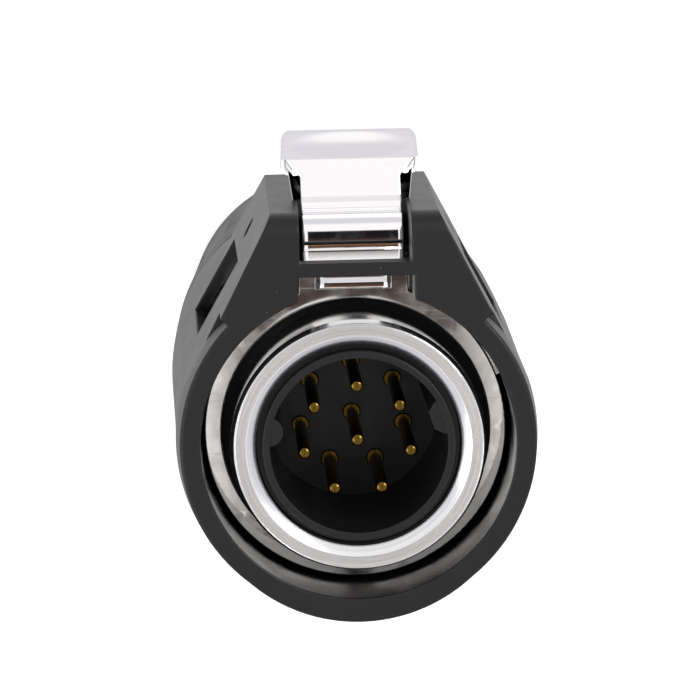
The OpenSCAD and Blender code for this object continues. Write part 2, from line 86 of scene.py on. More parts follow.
class Graph:
    """Nodes and links of one node tree."""

    def __init__(self, tree: bpy.types.NodeTree) -> None:
        """Wraps a node tree and empties it."""
        self.tree = tree
        tree.nodes.clear()

    def node(self, kind: str, inputs: dict | None = None, **settings: object) -> bpy.types.Node:
        """Adds a node.

        Args:
            kind: Blender's name of the node type.
            inputs: socket name or number to a value, or to an output socket to link from.
            **settings: properties of the node.

        Returns:
            The new node.
        """
        made = self.tree.nodes.new(kind)
        for name, value in settings.items():
            setattr(made, name, value)
        for key, value in (inputs or {}).items():
            if isinstance(value, bpy.types.NodeSocket):
                self.link(value, made.inputs[key])
            else:
                made.inputs[key].default_value = value
        return made

    def link(self, source: bpy.types.NodeSocket, target: bpy.types.NodeSocket) -> None:
        """Links an output socket to an input socket."""
        self.tree.links.new(source, target)

    def math(self, operation: str, a: object, b: object = 0.0) -> bpy.types.NodeSocket:
        """Adds a Math node and returns its output socket."""
        return self.node("ShaderNodeMath", {0: a, 1: b}, operation=operation).outputs[0]

    def remap(self, value: object, low: float, high: float, to_low: float = 0.0,
              to_high: float = 1.0) -> bpy.types.NodeSocket:
        """Adds a smooth Map Range node.

        Args:
            value: the number or output socket to remap.
            low: the value that gives to_low.
            high: the value that gives to_high.
            to_low: result at low.
            to_high: result at high.

        Returns:
            Its output socket.
        """
        made = self.node("ShaderNodeMapRange", {"Value": value, "From Min": low, "From Max": high,
                                                "To Min": to_low, "To Max": to_high},
                         interpolation_type="SMOOTHSTEP")
        return made.outputs["Result"]

    def mix(self, factor: object, a: object, b: object) -> bpy.types.NodeSocket:
        """Adds a colour Mix node.

        Args:
            factor: share of b, a number or an output socket.
            a: first colour, or an output socket.
            b: second colour, or an output socket.

        Returns:
            Its output socket.
        """
        made = self.node("ShaderNodeMix", {0: factor}, data_type="RGBA")
        for key, value in ((6, a), (7, b)):
            if isinstance(value, bpy.types.NodeSocket):
                self.link(value, made.inputs[key])
            else:
                made.inputs[key].default_value = (*value[:3], 1.0)
        return made.outputs[2]

    def choose(self, mask: object, a: object, b: object) -> bpy.types.NodeSocket:
        """Adds a number Mix node, a where mask is 0 and b where it is 1, and returns its output."""
        return self.node("ShaderNodeMix", {0: mask, 2: a, 3: b}).outputs[0]

    def noise(self, place: object, scale: object, detail: float, **inputs: float) -> bpy.types.NodeSocket:
        """Adds a Noise Texture node and returns its value."""
        given = {"Vector": place, "Scale": scale, "Detail": detail, **inputs}
        return self.node("ShaderNodeTexNoise", given).outputs[0]

    def object_place(self) -> bpy.types.NodeSocket:
        """Adds the plug's own coordinates and returns their output."""
        return self.node("ShaderNodeTexCoord").outputs["Object"]

    def split(self, vector: object) -> Sockets:
        """Splits a vector and returns the outputs for X, Y and Z."""
        return self.node("ShaderNodeSeparateXYZ", {0: vector}).outputs

    def axis_distance(self) -> bpy.types.NodeSocket:
        """Adds nodes that measure the distance from the plug's axis and returns their output."""
        x, y, _ = self.split(self.object_place())
        return self.math("SQRT", self.math("ADD", self.math("MULTIPLY", x, x), self.math("MULTIPLY", y, y)))

    def specks(self, scale: object, size: float, channel: int, above: float) -> bpy.types.NodeSocket:
        """Adds a mask of scattered specks.

        Args:
            scale: how closely the cells that may hold a speck are set.
            size: radius of a speck as a share of its cell.
            channel: which channel of a cell's random colour decides.
            above: value past which a cell holds a speck.

        Returns:
            The mask's output socket.
        """
        cells = self.node("ShaderNodeTexVoronoi", {"Vector": self.object_place(), "Scale": scale})
        near = self.math("LESS_THAN", cells.outputs["Distance"], size)
        chance = self.node("ShaderNodeSeparateColor", {0: cells.outputs["Color"]}).outputs[channel]
        return self.math("MULTIPLY", near, self.math("GREATER_THAN", chance, above))


def shader_group(name: str, sizes: dict[str, float], outputs: Sequence[str],
                 wire: Callable[[Graph, Sockets], Sequence[bpy.types.NodeSocket]]) -> bpy.types.NodeTree:
    """Builds a shader node group.

    Args:
        name: the group's name.
        sizes: its float inputs and their defaults.
        outputs: its float outputs.
        wire: fills the group from its inputs and returns what its outputs give, in order.

    Returns:
        The group.
    """
    tree = bpy.data.node_groups.new(name, "ShaderNodeTree")
    graph = Graph(tree)
    for key, value in sizes.items():
        tree.interface.new_socket(key, in_out="INPUT", socket_type="NodeSocketFloat").default_value = value
    for key in outputs:
        tree.interface.new_socket(key, in_out="OUTPUT", socket_type="NodeSocketFloat")
    given, out = graph.node("NodeGroupInput").outputs, graph.node("NodeGroupOutput").inputs
    for source, target in zip(wire(graph, given), out):
        graph.link(source, target)
    return tree


@cache
def moulded_grain() -> bpy.types.NodeTree:
    """Builds the fine texture of a moulded surface, its slow unevenness and a few specks of dust.

    Returns:
        The group.
    """

    def wire(g: Graph, given: Sockets) -> list[bpy.types.NodeSocket]:
        """Fills the group.

        Args:
            g: the group's graph.
            given: its inputs.

        Returns:
            Height, patches and dust.
        """
        fine = g.noise(g.object_place(), given["Scale"], 3.0, Roughness=0.65)
        slow = g.noise(g.object_place(), 420.0, 2.0)
        return [fine, slow, g.specks(given["Specks"], 0.04, 0, 0.8)]

    return shader_group("moulded_grain", {"Scale": 9000.0, "Specks": 1100.0}, ["Height", "Patch", "Dust"], wire)


@cache
def edge_wear() -> bpy.types.NodeTree:
    """Builds the mask of worn outer edges.

    Returns:
        The group.
    """

    def wire(g: Graph, given: Sockets) -> list[bpy.types.NodeSocket]:
        """Fills the group.

        Args:
            g: the group's graph.
            given: its inputs.

        Returns:
            The mask.
        """
        round_normal = g.node("ShaderNodeBevel", {"Radius": given["Radius"]}, samples=4).outputs[0]
        flat_normal = g.node("ShaderNodeNewGeometry").outputs["Normal"]
        dot = g.node("ShaderNodeVectorMath", {0: round_normal, 1: flat_normal}, operation="DOT_PRODUCT")
        edge = g.remap(dot.outputs["Value"], 0.985, 0.8)
        broken = g.remap(g.noise(g.object_place(), 2600.0, 4.0), 0.42, 0.6)
        return [g.math("MULTIPLY", g.math("MULTIPLY", edge, broken), given["Amount"])]

    return shader_group("edge_wear", {"Radius": 0.1 * MM, "Amount": 0.5}, ["Mask"], wire)


@cache
def turning_marks() -> bpy.types.NodeTree:
    """Builds fine circular tool marks around Z, with a few deeper ones.

    Returns:
        The group.
    """

    def wire(g: Graph, given: Sockets) -> list[bpy.types.NodeSocket]:
        """Fills the group.

        Args:
            g: the group's graph.
            given: its inputs.

        Returns:
            Height and streaks.
        """
        x, y, z = g.split(g.object_place())
        slanted = g.math("ADD", g.axis_distance(), g.math("MULTIPLY", z, 0.9))
        across = g.math("DIVIDE", slanted, given["Pitch"])
        turn = g.math("MULTIPLY", g.math("ARCTAN2", y, x), 0.9)
        marks = g.node("ShaderNodeCombineXYZ", {0: across, 1: turn}).outputs[0]
        wide = g.noise(marks, 0.17, 3.0)
        return [g.math("ADD", g.noise(marks, 1.0, 2.0), g.math("MULTIPLY", wide, 0.7)), wide]

    return shader_group("turning_marks", {"Pitch": 0.05 * MM}, ["Height", "Streak"], wire)


@cache
def plating_flaws() -> bpy.types.NodeTree:
    """Builds slow waves, pinholes and hairlines of a plated surface.

    Returns:
        The group.
    """

    def wire(g: Graph, given: Sockets) -> list[bpy.types.NodeSocket]:
        """Fills the group.

        Args:
            g: the group's graph.
            given: its inputs.

        Returns:
            Height, pinholes and hairlines.
        """
        drawn = g.node("ShaderNodeMapping", {"Vector": g.object_place(), "Rotation": (0.3, 0.5, 0.9),
                                             "Scale": (300.0, 9000.0, 9000.0)}).outputs[0]
        wave = g.noise(g.object_place(), given["Scale"], 2.0)
        return [wave, g.specks(2400.0, 0.09, 1, 0.86), g.remap(g.noise(drawn, 1.0, 1.0), 0.66, 0.76)]

    return shader_group("plating_flaws", {"Scale": 900.0}, ["Height", "Pits", "Hairlines"], wire)


# ---- finishes ---------------------------------------------------------------


def shaded(colour: Colour, share: float) -> Colour:
    """Returns a colour scaled by a share."""
    return tuple(c * share for c in colour)


@dataclass(frozen=True)
class Finish:
    """A finish with its colour and gloss; subclasses wire its detail."""

    name: str
    colour: Colour
    roughness: float

    def material(self) -> bpy.types.Material:
        """Makes the finish's material the first time it is asked for.

        Returns:
            The material.
        """
        known = bpy.data.materials.get(self.name)
        if known:
            return known
        made = bpy.data.materials.new(self.name)
        made.use_nodes = True
        g = Graph(made.node_tree)
        bsdf = g.node("ShaderNodeBsdfPrincipled",
                      {"Base Color": (*self.colour, 1.0), "Roughness": self.roughness})
        g.node("ShaderNodeOutputMaterial", {0: bsdf.outputs[0]})
        self.detail(g, bsdf)
        return made

    def detail(self, g: Graph, bsdf: bpy.types.Node) -> None:
        """Wires what varies over the surface into the shader."""

    @staticmethod
    def group(g: Graph, tree: bpy.types.NodeTree, **values: float) -> Sockets:
        """Places a node group with its values and returns its outputs."""
        return g.node("ShaderNodeGroup", values, node_tree=tree).outputs

    @staticmethod
    def bump(g: Graph, bsdf: bpy.types.Node, height: bpy.types.NodeSocket, depth: float,
             edge: float) -> None:
        """Feeds a height, over edges rounded by edge, into the shader's normal.

        Args:
            g: the material's graph.
            bsdf: the shader.
            height: what the bump follows, about 0 to 1.
            depth: its depth in metres.
            edge: radius of the rounding of edges in metres.
        """
        soft = g.node("ShaderNodeBevel", {"Radius": edge}, samples=6).outputs[0]
        made = g.node("ShaderNodeBump", {"Height": height, "Distance": depth, "Strength": 1.0, "Normal": soft})
        g.link(made.outputs[0], bsdf.inputs["Normal"])


@dataclass(frozen=True)
class Moulded(Finish):
    """Moulded plastic with a fine grain, rubbed edges and dust."""

    grain: float = 9000.0
    depth: float = 0.004 * MM
    edge: float = 0.15 * MM
    wear: float = 0.25
    dust: float = 0.5
    dust_colour: Colour = (0.30, 0.28, 0.27)
    polished_bore: float = 0.0
    specular: float = 0.5

    def detail(self, g: Graph, bsdf: bpy.types.Node) -> None:
        """Wires grain, wear and dust, and the smoother wall inside polished_bore.

        Args:
            g: the material's graph.
            bsdf: its shader.
        """
        skin = self.group(g, moulded_grain(), Scale=self.grain)
        worn = self.group(g, edge_wear(), Radius=self.edge, Amount=self.wear)
        pale = tuple(min(1.0, c * 3.2 + 0.03) for c in self.colour)
        slow = g.mix(skin["Patch"], shaded(self.colour, 0.9), shaded(self.colour, 1.1))
        rubbed = g.mix(worn["Mask"], slow, pale)
        dusty = g.mix(g.math("MULTIPLY", skin["Dust"], self.dust), rubbed, self.dust_colour)
        rough = g.remap(skin["Patch"], 0.2, 0.8, self.roughness - 0.02, self.roughness + 0.025)
        height = skin["Height"]
        if self.polished_bore:
            inside = g.math("LESS_THAN", g.axis_distance(), self.polished_bore)
            rough = g.choose(inside, rough, g.remap(skin["Patch"], 0.3, 0.7, 0.12, 0.24))
            height = g.choose(inside, height, skin["Patch"])
        g.link(dusty, bsdf.inputs["Base Color"])
        g.link(rough, bsdf.inputs["Roughness"])
        bsdf.inputs["Specular IOR Level"].default_value = self.specular
        self.bump(g, bsdf, height, self.depth, self.edge)


@dataclass(frozen=True)
class Plated(Finish):
    """Bright plated metal with pinholes and hairlines."""

    wave: float = 900.0
    depth: float = 0.0008 * MM
    edge: float = 0.1 * MM
    stain: Colour | None = (0.55, 0.53, 0.52)
    flaws: float = 1.0

    def detail(self, g: Graph, bsdf: bpy.types.Node) -> None:
        """Wires flaws into roughness and normal, and into colour where they have a stain.

        Args:
            g: the material's graph.
            bsdf: its shader.
        """
        bsdf.inputs["Metallic"].default_value = 1.0
        found = self.group(g, plating_flaws(), Scale=self.wave)
        marks = g.math("MAXIMUM", found["Pits"], g.math("MULTIPLY", found["Hairlines"], 0.4))
        marks = g.math("MULTIPLY", marks, self.flaws)
        if self.stain:
            g.link(g.mix(marks, self.colour, self.stain), bsdf.inputs["Base Color"])
        rough = g.remap(found["Height"], 0.3, 0.7, self.roughness - 0.02, self.roughness + 0.03)
        g.link(g.math("ADD", g.math("MULTIPLY", marks, 0.22), rough), bsdf.inputs["Roughness"])
        self.bump(g, bsdf, found["Height"], self.depth, self.edge)


@dataclass(frozen=True)
class Turned(Finish):
    """Turned metal with fine circular marks."""

    pitch: float = 0.05 * MM
    depth: float = 0.002 * MM
    edge: float = 0.06 * MM
    smooth_wall: float = 1.0
    smooth_roughness: float = 0.09

    def detail(self, g: Graph, bsdf: bpy.types.Node) -> None:
        """Wires the tool marks into colour, roughness and normal; the wall past smooth_wall is polished.

        Args:
            g: the material's graph.
            bsdf: its shader.
        """
        bsdf.inputs["Metallic"].default_value = 1.0
        marks = self.group(g, turning_marks(), Pitch=self.pitch)
        streaks = g.remap(marks["Streak"], 0.3, 0.7)
        rough = g.remap(marks["Height"], 0.4, 1.3, self.roughness - 0.06, self.roughness + 0.08)
        outside = g.math("GREATER_THAN", g.axis_distance(), self.smooth_wall)
        g.link(g.mix(streaks, self.colour, shaded(self.colour, 0.86)), bsdf.inputs["Base Color"])
        g.link(g.choose(outside, rough, self.smooth_roughness), bsdf.inputs["Roughness"])
        self.bump(g, bsdf, marks["Height"], self.depth, self.edge)


@dataclass(frozen=True)
class GoldPlate(Plated):
    """Gold plating, whose flaws show in its gloss alone; its dark colour in use is gold scaled down as painted
    shade.
    """

    wave: float = 2500.0
    depth: float = 0.0004 * MM
    edge: float = 0.03 * MM
    stain: Colour | None = None


@dataclass(frozen=True)
class SoftRubber(Moulded):
    """Moulded rubber, dull and slightly bloomed."""

    grain: float = 5000.0
    depth: float = 0.008 * MM
    edge: float = 0.1 * MM
    wear: float = 0.1


SHELL = Moulded("black_shell", (0.0058, 0.0054, 0.0068), 0.40, edge=0.30 * MM, wear=0.12,
                polished_bore=12.72 * MM, specular=0.31)
NUT = Moulded("black_nut", (0.0062, 0.0058, 0.0070), 0.45, wear=0.2, specular=0.32)
COUPLER = Moulded("coupler_black", (0.012, 0.012, 0.014), 0.42)
INSERT = Moulded("insulator_black", (0.0052, 0.0052, 0.0066), 0.36, grain=6000.0, depth=0.002 * MM,
                 edge=0.08 * MM, wear=0.2, dust=0.35, specular=0.3)
RETAINER = Moulded("retainer_grey", (0.05, 0.05, 0.055), 0.45)
LEVER = Plated("bright_lever", (0.94, 0.93, 0.935), 0.04, flaws=0.25)
CHASSIS = Plated("bright_chassis", (0.76, 0.75, 0.73), 0.08, wave=500.0, depth=0.003 * MM)
NOSE = Turned("turned_nose", (0.90, 0.90, 0.91), 0.20, smooth_wall=10.15 * MM)
LOCK_RING = Turned("turned_ring", (0.62, 0.61, 0.60), 0.35)
SPRING = Plated("drawn_wire", (0.52, 0.51, 0.50), 0.25, wave=3000.0)
CROSS_PIN = Plated("ground_pin", (0.60, 0.58, 0.57), 0.18)
# gold scaled down to 0.12 of its lit colour: painted shade meant for the contacts' feet down in the cup, which
# lies on the whole of every contact
GOLD_PAINTED_SHADE = GoldPlate("gold_plate_painted_shade", (0.12, 0.0732, 0.0132), 0.19)
CLAW = Plated("pressed_claw", (0.72, 0.71, 0.69), 0.24)
WASHER = Turned("pressed_washer", (0.62, 0.61, 0.59), 0.33, pitch=0.12 * MM)
GLAND = SoftRubber("gland_rubber", (0.022, 0.022, 0.025), 0.55)
SEAL = SoftRubber("seal_rubber", (0.008, 0.008, 0.009), 0.5, dust=0.1)


# ---- mesh helpers -----------------------------------------------------------


def shade_by_angle(bm: bmesh.types.BMesh, degrees: float) -> None:
    """Smooths a mesh except over edges sharper than an angle.

    Args:
        bm: the mesh.
        degrees: the angle.
    """
    limit = math.radians(degrees)
    for face in bm.faces:
        face.smooth = True
    for edge in bm.edges:
        edge.smooth = len(edge.link_faces) == 2 and edge.calc_face_angle(math.pi) < limit


def seat(piece: bpy.types.Object, finish: Finish, body: Body, replaced: Sequence[str]) -> None:
    """Puts a finished piece on its body in place of its CAD nodes, and reports it.

    Args:
        piece: the piece.
        finish: its finish.
        body: the body it rides on.
        replaced: CAD nodes it stands for.
    """
    bpy.context.scene.collection.objects.link(piece)
    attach(piece, body.value)
    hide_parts(*replaced)
    log.info("piece %s: %d faces, finish %s", piece.name, len(piece.data.polygons), finish.name)


def add_piece(name: str, bm: bmesh.types.BMesh, finish: Finish, body: Body,
              replaced: Sequence[str]) -> bpy.types.Object:
    """Turns a bmesh into a dressed piece that rides on a body.

    Args:
        name: the piece's name.
        bm: its mesh, in the plug's frame; it is freed.
        finish: its finish.
        body: the body it rides on.
        replaced: CAD nodes it stands for.

    Returns:
        The piece.
    """
    mesh = bpy.data.meshes.new(name)
    bm.to_mesh(mesh)
    bm.free()
    mesh.materials.append(finish.material())
    piece = bpy.data.objects.new(name, mesh)
    seat(piece, finish, body, replaced)
    return piece


def arc(centre: tuple[float, float], radius: float, degrees: range) -> Outline:
    """Returns the points of a circle at the given angles."""
    return [(centre[0] + radius * math.cos(math.radians(a)), centre[1] + radius * math.sin(math.radians(a)))
            for a in degrees]


def rounded(points: Sequence[tuple[float, float, float]], steps: int) -> Outline:
    """Rounds the corners of a closed outline.

    Args:
        points: corners as (x, y, radius of the rounding).
        steps: pieces that each rounding is made of.

    Returns:
        The outline's points.
    """
    made: Outline = []
    nearly_straight = math.pi / 2 - 0.02
    for i, (x, y, radius) in enumerate(points):
        here = Vector((x, y))
        back = Vector(points[i - 1][:2]) - here
        ahead = Vector(points[(i + 1) % len(points)][:2]) - here
        half = back.angle(ahead) / 2
        if radius <= 0 or half > nearly_straight:
            made.append((x, y))
            continue
        cut = min(radius / math.tan(half), 0.48 * back.length, 0.48 * ahead.length)
        real = cut * math.tan(half)
        start, end = here + back.normalized() * cut, here + ahead.normalized() * cut
        centre = here + (back.normalized() + ahead.normalized()).normalized() * (real / math.sin(half))
        first = start - centre
        sweep = first.angle_signed(end - centre)
        for k in range(steps + 1):
            made.append(tuple(centre + Matrix.Rotation(-sweep * k / steps, 2) @ first))
    return made


def revolve(profile: Outline, steps: int) -> bmesh.types.BMesh:
    """Turns a closed outline of (radius, height) around Z.

    Args:
        profile: points in metres, clear of the axis.
        steps: divisions of the circle.

    Returns:
        The mesh, with its faces pointing outwards.
    """
    bm = bmesh.new()
    turns = [2 * math.pi * k / steps for k in range(steps)]
    rings = [[bm.verts.new((radius * math.cos(a), radius * math.sin(a), height)) for a in turns]
             for radius, height in profile]
    for low, high in zip(rings, rings[1:] + rings[:1]):
        for k in range(steps):
            n = (k + 1) % steps
            bm.faces.new((low[k], low[n], high[n], high[k]))
    bmesh.ops.recalc_face_normals(bm, faces=bm.faces)
    return bm


def refined_copy(node: bpy.types.Object, degrees: float) -> bmesh.types.BMesh:
    """Copies a CAD node's mesh, joined up and smoothed except over its edges.

    Args:
        node: the CAD node.
        degrees: angle past which an edge stays crisp.

    Returns:
        The copy.
    """
    bm = bmesh.new()
    bm.from_mesh(node.data)
    bmesh.ops.remove_doubles(bm, verts=bm.verts, dist=2e-7)
    shade_by_angle(bm, degrees)
    return bm


# ---- the latch lever --------------------------------------------------------


@dataclass
class LatchLever:
    """The bright lever: rounded front, neck, dished thumb tab, tail and tooth.

    Depths run back from the shell's front face and heights out from the axis,
    in millimetres.
    """

    front: float
    pin_depth: float
    pin_height: float
    crown: float
    width: float = 8.2
    edge: float = 0.16
    corner: float = 0.45
    nose_depth: float = 6.4
    nose_low: float = 14.0
    nose_high: float = 18.0
    lip_height: float = 0.3
    lip_lean: float = 0.42
    boss: float = 1.85
    tab_width: float = 11.6
    tab_depth: float = 8.0
    tab_foot: float = 20.6
    tab_top: float = 24.3
    foot_corner: float = 1.2
    top_corner: float = 0.85
    flare_inset: float = 0.62
    dish: float = 0.10
    tooth_width: float = 5.5
    tooth_front: float = 4.4
    tooth_tip: float = 11.99
    tooth_edge: float = 0.05

    @property
    def fold(self) -> float:
        """Height of the fold between the strip and the dished face."""
        return self.tab_foot + (self.tab_top - self.tab_foot) * 0.37

    @property
    def run(self) -> float:
        """How far the dished face leans back."""
        return (self.tab_top - self.fold) * 0.73

    def place(self, x: float, depth: float, height: float) -> tuple[float, float, float]:
        """Turns across, depth and height in millimetres into the plug's frame."""
        return (-x * MM, -height * MM, self.front - depth * MM)

    def nose_outline(self) -> Outline:
        """Draws the lower lip and the rounded front of the lever's nose.

        Returns:
            The outline as (depth, height), upwards.
        """
        middle, radius = (self.nose_low + self.nose_high) / 2, (self.nose_high - self.nose_low) / 2
        front = arc((self.nose_depth, middle), radius, range(208, 88, -4))
        depth, height = front[0]
        lip = self.nose_low + self.lip_height
        lip_depth = depth - self.lip_lean * (height - lip)
        low = rounded([(self.nose_depth + 0.2, self.nose_low, 0.0), (lip_depth, self.nose_low, 0.3),
                       (lip_depth, lip, 0.1), (depth, height, 0.12), (*front[1], 0.0)], 4)
        return low + front[2:]

    def body_outline(self) -> Outline:
        """Draws the side outline of nose, neck, strip, tail and boss.

        Returns:
            The outline as (depth, height), in order.
        """
        n, top, t, c = self.nose_depth, self.nose_high, self.tab_depth, self.tab_foot
        p, h, tail = self.pin_depth, self.pin_height, self.crown
        neck = [(n + 0.02, top, 0.0), (n + 0.34, top + 0.20, 0.25), (n + 0.62, top + 0.66, 0.25),
                (n + 0.98, top + 1.12, 0.3), (t - 0.30, c - 0.72, 0.6)]
        strip = [(t - 0.06, c - 0.08, 0.12), (t + 0.02, c + 0.12, 0.1), (t + 0.6, self.fold, 0.1),
                 (t + 1.3, self.fold - 0.1, 0.2)]
        back = [(t + 2.0, c, 0.5), (t + 3.2, tail + 0.35, 1.0), (p + 2.2, tail - 0.85, 0.8),
                (p + 5.1, tail - 0.9, 0.35), (p + 5.4, tail - 1.35, 0.3), (p + 5.1, tail - 1.9, 0.3),
                (p + 1.7, h - 0.75, 0.3)]
        upper = rounded(neck + strip + back, 5)
        return self.nose_outline() + upper[1:] + arc((p, h), self.boss, range(-35, -100, -8))

    def half_width(self, depth: float, height: float) -> float:
        """Measures half the lever's width, wider at the tab and rounded at the nose's lower corners.

        Args:
            depth: depth of a point of the side outline.
            height: its height.

        Returns:
            Half the width there.
        """
        flare = below = 0.0
        if depth < self.tab_depth + 1.5:
            start = self.tab_foot + 0.1
            flare = max(0.0, min(1.0, (height - start) / (self.fold - start)))
        if depth < self.nose_depth + 0.5:
            below = min(self.corner, max(0.0, self.nose_low + self.corner - height))
        wider = self.tab_width / 2 - self.flare_inset - self.width / 2
        return self.width / 2 + flare * wider - self.corner + math.sqrt(self.corner**2 - below**2)

    def slab(self, bm: bmesh.types.BMesh, outline: Outline, half: Callable[[float, float], float],
             edge: float) -> None:
        """Adds a solid with a side outline, its two sides rounded off.

        Args:
            bm: the mesh to add to.
            outline: side outline as (depth, height), in order.
            half: half width at a point of the outline.
            edge: radius of the rounded side edges.
        """
        count = len(outline)
        area = sum(outline[i - 1][0] * outline[i][1] - outline[i][0] * outline[i - 1][1] for i in range(count))
        inward: list[Vector] = []
        for i in range(count):
            along = (Vector(outline[(i + 1) % count]) - Vector(outline[i - 1])).normalized()
            inward.append(Vector((-along.y, along.x)) * math.copysign(1.0, area))
        # the last ring lies in from the rounding, so that the front between stays flat
        arcs = ((90, 0.0), (67.5, 0.0), (45, 0.0), (22.5, 0.0), (0, 0.0), (0, 0.35))
        rings = []
        for side in (-1, 1):
            for degrees, inset in arcs[::-side]:
                a = math.radians(degrees)
                ring = []
                for (depth, height), into in zip(outline, inward):
                    point = Vector((depth, height)) + into * (edge * (1 - math.cos(a)))
                    reach = half(depth, height) - edge + edge * math.sin(a) - inset
                    ring.append(bm.verts.new(self.place(side * reach, point.x, point.y)))
                rings.append(ring)
        for low, high in zip(rings, rings[1:]):
            for k in range(count):
                n = (k + 1) % count
                bm.faces.new((low[k], low[n], high[n], high[k]))
        bm.faces.new(rings[0])
        bm.faces.new(list(reversed(rings[-1])))

    def tab_half(self, height: float) -> float:
        """Measures half the tab's width, with its corners rounded.

        Args:
            height: a height on the tab.

        Returns:
            Half the width there.
        """
        low, high, foot, top = self.tab_foot - 0.05, self.tab_top, self.foot_corner, self.top_corner
        half = self.tab_width / 2 - 0.24 * (height - low) / (high - low)
        if height < low + foot:
            half -= foot - math.sqrt(max(0.0, foot**2 - (low + foot - height) ** 2))
        if height > high - top:
            half -= top - math.sqrt(max(0.0, top**2 - (height - high + top) ** 2))
        return half

    def rim_drop(self, x: float, height: float, radius: float) -> float:
        """Measures how far the tab's rounded rim falls away from its face.

        Args:
            x: place across the tab.
            height: its height.
            radius: the rim's rounding.

        Returns:
            The drop, 0 away from the rim.
        """
        rim = min(self.tab_half(height) - abs(x), self.tab_top - height, height - self.tab_foot + 0.05)
        short = max(0.0, radius - max(rim, 0.0))
        return radius - math.sqrt(radius**2 - short**2)

    def tab_face(self, x: float, height: float) -> float:
        """Measures the depth of the tab's front.

        Args:
            x: place across the tab.
            height: its height.

        Returns:
            The depth there.
        """
        t, fold, top = self.tab_depth, self.fold, self.tab_top - 0.2
        if height < fold:
            depth = t + 0.14 + 0.48 * (height - self.tab_foot) / (fold - self.tab_foot)
        else:
            depth = t + 0.6 + self.run * (height - fold) / (top - fold)
        along = (height - (fold + top) / 2) / ((top - fold) * 0.5)
        across = x / (self.tab_width * 0.45)
        hollow = max(0.0, 1 - along**2 - across**2)
        return depth + self.dish * hollow**2 + self.rim_drop(x, height, 0.28)

    def tab_back(self, x: float, height: float) -> float:
        """Measures the depth of the tab's back.

        Args:
            x: place across the tab.
            height: its height.

        Returns:
            The depth there.
        """
        share = max(0.0, (height - self.tab_foot) / (self.tab_top - self.tab_foot))
        depth = self.tab_depth + 2.2 + 0.5 * share + 0.35 * self.run * share**1.6
        return depth - self.rim_drop(x, height, 0.3)

    def tab(self, bm: bmesh.types.BMesh) -> None:
        """Adds the thumb tab.

        Args:
            bm: the mesh to add to.
        """
        def spaced(a: float, b: float, n: int) -> list[float]:
            """Returns heights from a to b, closer together near the ends."""
            return [a + (b - a) * (1 - math.cos(math.pi * k / n)) / 2 for k in range(n + 1)]

        low, high, fold = self.tab_foot - 0.05, self.tab_top, self.fold
        rows = spaced(low, fold - 0.04, 16) + [fold] + spaced(fold + 0.04, high, 30)
        columns = [math.sin(math.pi * (k / 56 - 0.5)) for k in range(57)]
        face, back = ([[bm.verts.new(self.place(u * self.tab_half(h), surface(u * self.tab_half(h), h), h))
                        for u in columns] for h in rows] for surface in (self.tab_face, self.tab_back))
        last_row, last_column = len(rows) - 1, len(columns) - 1
        for sheet in (face, back):
            for r in range(last_row):
                for c in range(last_column):
                    bm.faces.new((sheet[r][c], sheet[r][c + 1], sheet[r + 1][c + 1], sheet[r + 1][c]))
        loop = [(0, c) for c in range(last_column + 1)] + [(r, last_column) for r in range(1, last_row + 1)]
        loop += [(last_row, c) for c in range(last_column - 1, -1, -1)]
        loop += [(r, 0) for r in range(last_row - 1, 0, -1)]
        for i, (r, c) in enumerate(loop):
            next_r, next_c = loop[(i + 1) % len(loop)]
            bm.faces.new((face[r][c], face[next_r][next_c], back[next_r][next_c], back[r][c]))

    def tooth_outline(self) -> Outline:
        """Draws the side outline of the locking tooth.

        Returns:
            The outline as (depth, height), in order.
        """
        front, tip, root = self.tooth_front, self.tooth_tip, self.nose_low + 1.27
        return rounded([(front + 0.7, root, 0.0), (front + 0.7, tip + 1.23, 0.1), (front, tip + 0.5, 0.06),
                        (front, tip, 0.12), (front + 1.8, tip, 0.12), (front + 3.6, tip + 1.5, 0.3),
                        (front + 4.2, root - 0.3, 0.0)], 4)

    def build(self) -> bpy.types.Object:
        """Builds and dresses the lever.

        Returns:
            The piece.
        """
        bm = bmesh.new()
        self.slab(bm, self.body_outline(), self.half_width, self.edge)
        self.tab(bm)
        self.slab(bm, self.tooth_outline(), lambda depth, height: self.tooth_width / 2, self.tooth_edge)
        bmesh.ops.remove_doubles(bm, verts=bm.verts, dist=1e-7)
        bmesh.ops.recalc_face_normals(bm, faces=bm.faces)
        shade_by_angle(bm, 32)
        return add_piece("lever", bm, LEVER, Body.LATCH, ["latch_lever"])


# ---- nose and contacts ------------------------------------------------------


